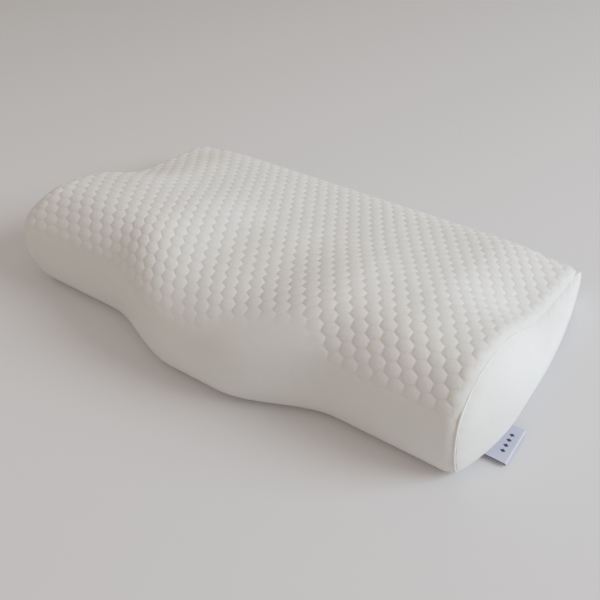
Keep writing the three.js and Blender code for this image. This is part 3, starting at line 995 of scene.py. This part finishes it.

# %% [markdown]
# ## Finishes
#
# The knit shows wales, which are columns of little V stitches, at about a millimetre. The same
# pattern serves the cover, the welts and the liner at other pitches, so it is a node group that
# reads a place in metres and puts out a height. A second group gives soft changes of tone, as
# undyed cotton has, and paints shade into the grooves between the bubbles; a third gives the
# over-and-under of woven ribbon and tape.

# %% Node helpers
def new_group(name, inputs, outputs):
    group = bpy.data.node_groups.new(name, "ShaderNodeTree")
    for label_text, kind, value in inputs:
        socket = group.interface.new_socket(label_text, in_out="INPUT", socket_type="NodeSocket" + kind)
        if value is not None:
            socket.default_value = value
    for label_text, kind in outputs:
        group.interface.new_socket(label_text, in_out="OUTPUT", socket_type="NodeSocket" + kind)
    return group, group.nodes.new("NodeGroupInput"), group.nodes.new("NodeGroupOutput")


def link_into(tree, value, socket):
    if hasattr(value, "is_linked"):
        tree.links.new(value, socket)
    else:
        socket.default_value = value


def sums(tree, kind, *values):
    node = tree.nodes.new("ShaderNodeMath")
    node.operation = kind
    for value, socket in zip(values, node.inputs):
        link_into(tree, value, socket)
    return node.outputs[0]


def mapped(tree, value, low, high, to_low, to_high):
    node = tree.nodes.new("ShaderNodeMapRange")
    for at, number in zip(range(5), (value, low, high, to_low, to_high)):
        link_into(tree, number, node.inputs[at])
    return node.outputs[0]


def split_place(tree, place):
    node = tree.nodes.new("ShaderNodeSeparateXYZ")
    tree.links.new(place, node.inputs[0])
    return node.outputs[0], node.outputs[1]


def noise(tree, place, scale, detail=3.0, rough=0.55):
    node = tree.nodes.new("ShaderNodeTexNoise")
    tree.links.new(place, node.inputs["Vector"])
    node.inputs["Scale"].default_value = scale
    node.inputs["Detail"].default_value = detail
    node.inputs["Roughness"].default_value = rough
    return node.outputs["Fac"]


def blend_colour(tree, share, first, second):
    node = tree.nodes.new("ShaderNodeMix")
    node.data_type = "RGBA"
    link_into(tree, share, node.inputs[0])
    link_into(tree, first, node.inputs[6])
    link_into(tree, second, node.inputs[7])
    return node.outputs[2]


# %% The knit group
knit, knit_in, knit_out = new_group(
    "knit_stitches",
    [("Place", "Vector", None), ("Wale", "Float", 0.0011),
     ("Course", "Float", 0.0009)],
    [("Height", "Float")])
sideways, upward = split_place(knit, knit_in.outputs["Place"])
wale = sums(knit, "DIVIDE", sideways, knit_in.outputs["Wale"])
course = sums(knit, "DIVIDE", upward, knit_in.outputs["Course"])
side_of = sums(knit, "ABSOLUTE", sums(knit, "SUBTRACT", sums(knit, "FRACT", wale), 0.5))
slant = sums(knit, "MULTIPLY_ADD", side_of, 1.1, course)
stitch = sums(knit, "SINE", sums(knit, "MULTIPLY", slant, 2 * math.pi))
stitch = sums(knit, "MULTIPLY_ADD", stitch, 0.5, 0.5)
from_crown = sums(knit, "POWER", sums(knit, "MULTIPLY", side_of, 2.0), 2.0)
round_wale = sums(knit, "SUBTRACT", 1.0, from_crown)
fuzz = noise(knit, knit_in.outputs["Place"], 2600.0, 2.0)
uneven = noise(knit, knit_in.outputs["Place"], 260.0, 3.0)
height = sums(knit, "MULTIPLY_ADD", uneven, 1.1, sums(knit, "MULTIPLY", stitch, 0.45))
height = sums(knit, "MULTIPLY_ADD", round_wale, 0.55, height)
height = sums(knit, "MULTIPLY_ADD", fuzz, 0.5, height)
knit.links.new(height, knit_out.inputs["Height"])
print("knit group:", len(knit.nodes), "nodes")

# %% The tone group
tone, tone_in, tone_out = new_group(
    "cotton_tone_and_groove_shade",
    [("Place", "Vector", None), ("Light", "Color", (1, 1, 1, 1)),
     ("Deep", "Color", (0.8, 0.8, 0.8, 1)), ("Hollow", "Float", 0.0)],
    [("Colour", "Color")])
cloudy = noise(tone, tone_in.outputs["Place"], 9.0, 4.0)
flecks = noise(tone, tone_in.outputs["Place"], 900.0, 2.0)
share_node = mapped(tone, cloudy, 0.35, 0.65, 0.0, 0.22)
share_node = sums(tone, "ADD", share_node, mapped(tone, flecks, 0.3, 0.7, 0.0, 0.16))
# Painted shade: the depth into the grooves between the bubbles pulls the colour towards the deep tone.
share_node = sums(tone, "MULTIPLY_ADD", tone_in.outputs["Hollow"], 0.10, share_node)
mixed = blend_colour(tone, share_node, tone_in.outputs["Light"], tone_in.outputs["Deep"])
tone.links.new(mixed, tone_out.inputs["Colour"])
print("tone group:", len(tone.nodes), "nodes")

# %% The weave group
weave, weave_in, weave_out = new_group(
    "plain_weave",
    [("Place", "Vector", None), ("Thread", "Float", 0.0004)],
    [("Height", "Float")])
sideways, upward = split_place(weave, weave_in.outputs["Place"])
over = sums(weave, "SINE", sums(weave, "DIVIDE", sideways, weave_in.outputs["Thread"]))
under = sums(weave, "SINE", sums(weave, "DIVIDE", upward, weave_in.outputs["Thread"]))
crossing = sums(weave, "MULTIPLY", over, under)
crossing = sums(weave, "MULTIPLY_ADD", crossing, 0.5, 0.5)
grain = noise(weave, weave_in.outputs["Place"], 1800.0, 2.0)
weave.links.new(sums(weave, "MULTIPLY_ADD", grain, 0.4, crossing), weave_out.inputs["Height"])
print("weave group:", len(weave.nodes), "nodes")


# %% Build a material from a group
def material(name, rough=0.85, metallic=0.0, sheen=0.0):
    made = bpy.data.materials.new(name)
    made.use_nodes = True
    tree = made.node_tree
    shader = tree.nodes["Principled BSDF"]
    shader.inputs["Roughness"].default_value = rough
    shader.inputs["Metallic"].default_value = metallic
    shader.inputs["Sheen Weight"].default_value = sheen
    shader.inputs["Sheen Roughness"].default_value = 0.5
    return made, tree, shader


def place_node(tree, use_uv):
    if use_uv:
        node = tree.nodes.new("ShaderNodeUVMap")
        node.uv_map = "cloth"
        return node.outputs["UV"]
    return tree.nodes.new("ShaderNodeTexCoord").outputs["Object"]


def group_node(tree, group, **values):
    node = tree.nodes.new("ShaderNodeGroup")
    node.node_tree = group
    for key, value in values.items():
        link_into(tree, value, node.inputs[key])
    return node


def bump(tree, shader, height, distance):
    node = tree.nodes.new("ShaderNodeBump")
    node.inputs["Strength"].default_value = 1.0
    node.inputs["Distance"].default_value = distance
    tree.links.new(height, node.inputs["Height"])
    tree.links.new(node.outputs["Normal"], shader.inputs["Normal"])


def toned(name, rough, sheen, light, deep, use_uv=False, groove_shade=False):
    made, tree, shader = material(name, rough, 0.0, sheen)
    place = place_node(tree, use_uv)
    groove_shade_fac = 0.0
    # Painted shade for the bubble grooves is read from the mesh when asked for.
    if groove_shade:
        read = tree.nodes.new("ShaderNodeAttribute")
        read.attribute_name = "groove_shade"
        groove_shade_fac = read.outputs["Fac"]
    colours = group_node(tree, tone, Place=place, Light=light, Deep=deep, Hollow=groove_shade_fac)
    tree.links.new(colours.outputs["Colour"], shader.inputs["Base Color"])
    return made, tree, shader, place


def knit_material(name, light, deep, wale, course, deep_bump, use_uv=True, groove_shade=False):
    made, tree, shader, place = toned(name, 0.9, KNIT_SHEEN, light, deep, use_uv, groove_shade)
    stitches = group_node(tree, knit, Place=place, Wale=wale, Course=course)
    bump(tree, shader, stitches.outputs["Height"], deep_bump)
    return made


KNIT_SHEEN = 0.25
COTTON = (0.86, 0.855, 0.84, 1)
COTTON_DEEP = (0.70, 0.69, 0.66, 1)
JERSEY = (0.80, 0.80, 0.79, 1)
JERSEY_DEEP = (0.66, 0.66, 0.65, 1)
# The bubble knit gets painted shade in the grooves between its bubbles.
bubble_knit = knit_material(
    "bubble_knit_white", COTTON, COTTON_DEEP, 0.0011, 0.0009, 0.00016, groove_shade=True)
plain_knit = knit_material(
    "plain_knit_white", COTTON, COTTON_DEEP, 0.0010, 0.0008, 0.00014)
welt_knit = knit_material(
    "welt_knit_white", COTTON, COTTON_DEEP, 0.0010, 0.0008, 0.00012, use_uv=False)
jersey = knit_material(
    "liner_jersey_white", JERSEY, JERSEY_DEEP, 0.0008, 0.0007, 0.00010)

# %% [markdown]
# The other finishes are smaller: satin ribbon with a row of diamonds, open foam cells, woven
# tape, smooth nylon and scuffed nickel.

# %% Ribbon, foam, nylon, tape and metal
LABEL_BAND = 0.0235
LABEL_BAND_HALF = 0.0040
DIAMOND_PITCH = 0.0070
DIAMOND_EDGE = (0.28, 0.31)
MOTIF_EDGE = (0.0138, 0.0142)
RIBBON = (0.66, 0.67, 0.78, 1)
RIBBON_INK = (0.035, 0.045, 0.16, 1)
SATIN_THREAD = 0.00009
SATIN_BUMP = 0.00006
SATIN = (0.70, 0.71, 0.76, 1)
FOAM = (0.86, 0.82, 0.70, 1)
FOAM_DEEP = (0.74, 0.68, 0.54, 1)
FOAM_CELLS = 700.0
FOAM_BUMP = 0.0003
TAPE = (0.78, 0.78, 0.77, 1)
TAPE_DEEP = (0.62, 0.62, 0.61, 1)
TAPE_THREAD = 0.00016
TAPE_BUMP = 0.00012
NYLON = (0.88, 0.88, 0.86, 1)
NYLON_DEEP = (0.70, 0.70, 0.68, 1)
NICKEL = (0.74, 0.73, 0.71, 1)
NICKEL_DULL = (0.62, 0.61, 0.59, 1)
ribbon_mat, tree, shader = material("ribbon_satin", 0.5, 0.0, 0.15)
place = place_node(tree, True)
across_ribbon, along = split_place(tree, place)
cell = sums(tree, "FRACT", sums(tree, "DIVIDE", along, DIAMOND_PITCH))
cell = sums(tree, "ABSOLUTE", sums(tree, "SUBTRACT", cell, 0.5))
from_band = sums(tree, "ABSOLUTE", sums(tree, "SUBTRACT", across_ribbon, LABEL_BAND))
from_band = sums(tree, "DIVIDE", from_band, LABEL_BAND_HALF)
diamond = sums(tree, "MULTIPLY_ADD", from_band, 0.42, cell)
diamond = mapped(tree, diamond, *DIAMOND_EDGE, 1.0, 0.0)
near_edge = sums(tree, "ABSOLUTE", along)
inside = mapped(tree, near_edge, *MOTIF_EDGE, 1.0, 0.0)
motif = sums(tree, "MULTIPLY", diamond, inside)
threads = group_node(tree, weave, Place=place, Thread=SATIN_THREAD)
ribbon_colour = blend_colour(tree, motif, RIBBON, RIBBON_INK)
tree.links.new(ribbon_colour, shader.inputs["Base Color"])
bump(tree, shader, threads.outputs["Height"], SATIN_BUMP)

care_mat, tree, shader = material("care_satin", 0.5, 0.0, 0.15)
place = place_node(tree, False)
threads = group_node(tree, weave, Place=place, Thread=SATIN_THREAD)
shader.inputs["Base Color"].default_value = SATIN
bump(tree, shader, threads.outputs["Height"], SATIN_BUMP)

foam_mat, tree, shader, place = toned("memory_foam_cream", 0.95, 0.0, FOAM, FOAM_DEEP)
cells = tree.nodes.new("ShaderNodeTexVoronoi")
tree.links.new(place, cells.inputs["Vector"])
cells.inputs["Scale"].default_value = FOAM_CELLS
bump(tree, shader, cells.outputs["Distance"], FOAM_BUMP)

tape_mat, tree, shader, place = toned("zip_tape_woven", 0.8, 0.1, TAPE, TAPE_DEEP)
threads = group_node(tree, weave, Place=place, Thread=TAPE_THREAD)
bump(tree, shader, threads.outputs["Height"], TAPE_BUMP)

nylon_mat = toned("zip_nylon_white", 0.34, 0.0, NYLON, NYLON_DEEP)[0]

metal_mat, tree, shader = material("zip_metal_nickel", 0.3, 1.0)
place = place_node(tree, False)
scuffs = noise(tree, place, 420.0, 5.0, 0.7)
tree.links.new(mapped(tree, scuffs, 0.3, 0.75, 0.2, 0.46), shader.inputs["Roughness"])
metal_colour = blend_colour(tree, scuffs, NICKEL_DULL, NICKEL)
tree.links.new(metal_colour, shader.inputs["Base Color"])
bump(tree, shader, scuffs, 0.00003)
print("materials:", len(bpy.data.materials))

# %% [markdown]
# ## Fixing every piece to its body
#
# Each piece is fixed to the CAD body it rides on, the CAD node it stands for is hidden, and it
# gets its finish. The flat sizes that the cloth panels, the tapes and the labels are cut to are
# printed.

# %% Ride, replace and print the sheets
END_FLAT = (0.330, 0.112)


def fit(obj, node, mat):
    obj.data.materials.clear()
    obj.data.materials.append(mat)
    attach(obj, "pillow")
    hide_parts(node)


def dress(node, mat):
    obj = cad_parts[node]
    if not obj.data.materials:
        obj.data.materials.append(mat)
    for place_of in obj.material_slots:
        place_of.link = "OBJECT"
        place_of.material = mat


fit(cover_top, "cover_top_panel", bubble_knit)
fit(cover_bottom, "cover_bottom_panel", plain_knit)
fit(end_right, "cover_right_end_panel", plain_knit)
fit(end_left, "cover_left_end_panel", plain_knit)
fit(welt_right, "right_end_piping", welt_knit)
fit(welt_left, "left_end_piping", welt_knit)
fit(liner_top, "liner_top_panel", jersey)
fit(liner_bottom, "liner_bottom_panel", jersey)
fit(liner_right, "liner_right_end_panel", jersey)
fit(liner_left, "liner_left_end_panel", jersey)
fit(foam, "foam_core", foam_mat)
fit(coil_upper, "zip_coil_upper", nylon_mat)
fit(coil_lower, "zip_coil_lower", nylon_mat)
for node in ("zip_tape_upper", "zip_tape_lower", "zip_stop_left", "zip_stop_right"):
    dress(node, tape_mat)
for node in ("zip_slider", "zip_pull_tab"):
    dress(node, metal_mat)
dress("care_label", care_mat)
label.data.materials.append(ribbon_mat)
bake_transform(label)
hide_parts("side_label")


def cloth_area(obj):
    """Area of one side of a thin piece, whose mesh has both sides."""
    return sum(polygon.area for polygon in obj.data.polygons) / 2


def declare_sheet(obj, flat, held, rests_on=(), whole=True):
    flat = (round(flat[0], 3), round(flat[1], 3))
    more = {} if whole else {"area": round(cloth_area(obj), 4)}
    if rests_on:
        more["rests_on"] = list(rests_on)
    print("sheet", obj.name, flat, "m,", held, more.get("area", ""))


def strip_flat(obj):
    """The flat size of a strip that runs along X."""
    xs = [vertex.co.x for vertex in obj.data.vertices]
    long = max(xs) - min(xs)
    return long, cloth_area(obj) / long


panel_wide = 2 * COVER_END_X
declare_sheet(cover_top, (panel_wide, top_girth), "stretched", [liner_top])
declare_sheet(cover_bottom, (panel_wide, bottom_girth), "stretched", [liner_bottom])
declare_sheet(liner_top, (panel_wide, top_girth), "stretched", [foam])
declare_sheet(liner_bottom, (panel_wide, bottom_girth), "stretched", [foam])
for end, under in ((end_right, liner_right), (end_left, liner_left)):
    declare_sheet(end, END_FLAT, "stretched", [under], whole=False)
    declare_sheet(under, END_FLAT, "stretched", [foam], whole=False)
declare_sheet(label, (LABEL_WIDE, label_long), "folded")
for node in ("zip_tape_upper", "zip_tape_lower", "care_label"):
    strip_of_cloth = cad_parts[node]
    declare_sheet(strip_of_cloth, strip_flat(strip_of_cloth), "laid")

# %% [markdown]
# ## Floor, light and camera
#
# A pale seamless floor runs far back, with shade painted into its colour that darkens it towards
# the back left. A large cool light stands behind the pillow on its right, so the right end is
# brightest and the shadow falls to the front left. Warm air light fills the front.

# %% Stage
FLOOR_SIDE = 40
FLOOR_NEAR = (0.80, 0.80, 0.81, 1)
FLOOR_FAR_SHADE = (0.55, 0.54, 0.53, 1)
FLOOR_SHADE_FADE = (0.1, 2.4)
FLOOR_SLANT = -0.75
KEY_PLACE = (4.51, 2.01, 2.63)
KEY_AIM = (0, 0, 0.03)
KEY_WIDE = 3.3
KEY_WATTS = 192
KEY_COLOUR = (0.78, 0.89, 1.0)
AIR_COLOUR = (1.0, 0.90, 0.81, 1)
AIR_STRENGTH = 0.475
bpy.ops.mesh.primitive_grid_add(x_subdivisions=8, y_subdivisions=8, size=FLOOR_SIDE)
floor = named("studio_floor")
floor_mat, tree, shader = material("floor_paper_painted_shade", 0.9)
place = place_node(tree, False)
sideways, away = split_place(tree, place)
far_left = sums(tree, "MULTIPLY_ADD", sideways, FLOOR_SLANT, away)
paper_tone_and_shade = noise(tree, place, 1.2, 2.0)
# Painted shade: the floor colour darkens towards the back left, over a faint random paper tone.
paper_tone_and_shade = sums(tree, "MULTIPLY_ADD", paper_tone_and_shade, 0.06, mapped(tree, far_left, *FLOOR_SHADE_FADE, 0.0, 1.0))
paper_and_shade_colour = blend_colour(tree, paper_tone_and_shade, FLOOR_NEAR, FLOOR_FAR_SHADE)
tree.links.new(paper_and_shade_colour, shader.inputs["Base Color"])
floor.data.materials.append(floor_mat)

key = bpy.data.lights.new("key_window", "AREA")
key.shape = "DISK"
key.size = KEY_WIDE
key.energy = KEY_WATTS
key.color = KEY_COLOUR
lamp = add_object("key_window", key)
lamp.location = KEY_PLACE
lamp.rotation_euler = (Vector(KEY_AIM) - Vector(KEY_PLACE)).to_track_quat("-Z", "Y").to_euler()
world = bpy.data.worlds.new("studio_air")
world.use_nodes = True
air = world.node_tree.nodes["Background"]
air.inputs["Color"].default_value = AIR_COLOUR
air.inputs["Strength"].default_value = AIR_STRENGTH
bpy.context.scene.world = world
bpy.context.scene.view_settings.view_transform = "Standard"
print("floor", FLOOR_SIDE, "m, key light", KEY_WATTS, "W")

# %% [markdown]
# The camera looks down on the right front corner, turned a little about its own line of sight.

# %% Camera
AZIMUTH = math.radians(37.83)
ELEVATION = math.radians(40.452)
ROLL = math.radians(-3.95)
TARGET = Vector((0.05266, -0.06940, 0.050))
DISTANCE = 0.82852
LENS = 45.976
SENSOR = 36
back = Vector((math.sin(AZIMUTH) * math.cos(ELEVATION),
               -math.cos(AZIMUTH) * math.cos(ELEVATION), math.sin(ELEVATION)))
right = (-back).cross(Vector((0, 0, 1))).normalized()
up = right.cross(-back).normalized()
right_rolled = right * math.cos(ROLL) + up * math.sin(ROLL)
up_rolled = up * math.cos(ROLL) - right * math.sin(ROLL)
camera_data = bpy.data.cameras.new("camera")
camera_data.lens = LENS
camera_data.sensor_width = SENSOR
camera = add_object("camera", camera_data)
turned = Matrix((right_rolled, up_rolled, back)).transposed().to_4x4()
camera.matrix_world = Matrix.Translation(TARGET + back * DISTANCE) @ turned
bpy.context.scene.camera = camera
print("camera at", [round(v, 3) for v in camera.matrix_world.translation])
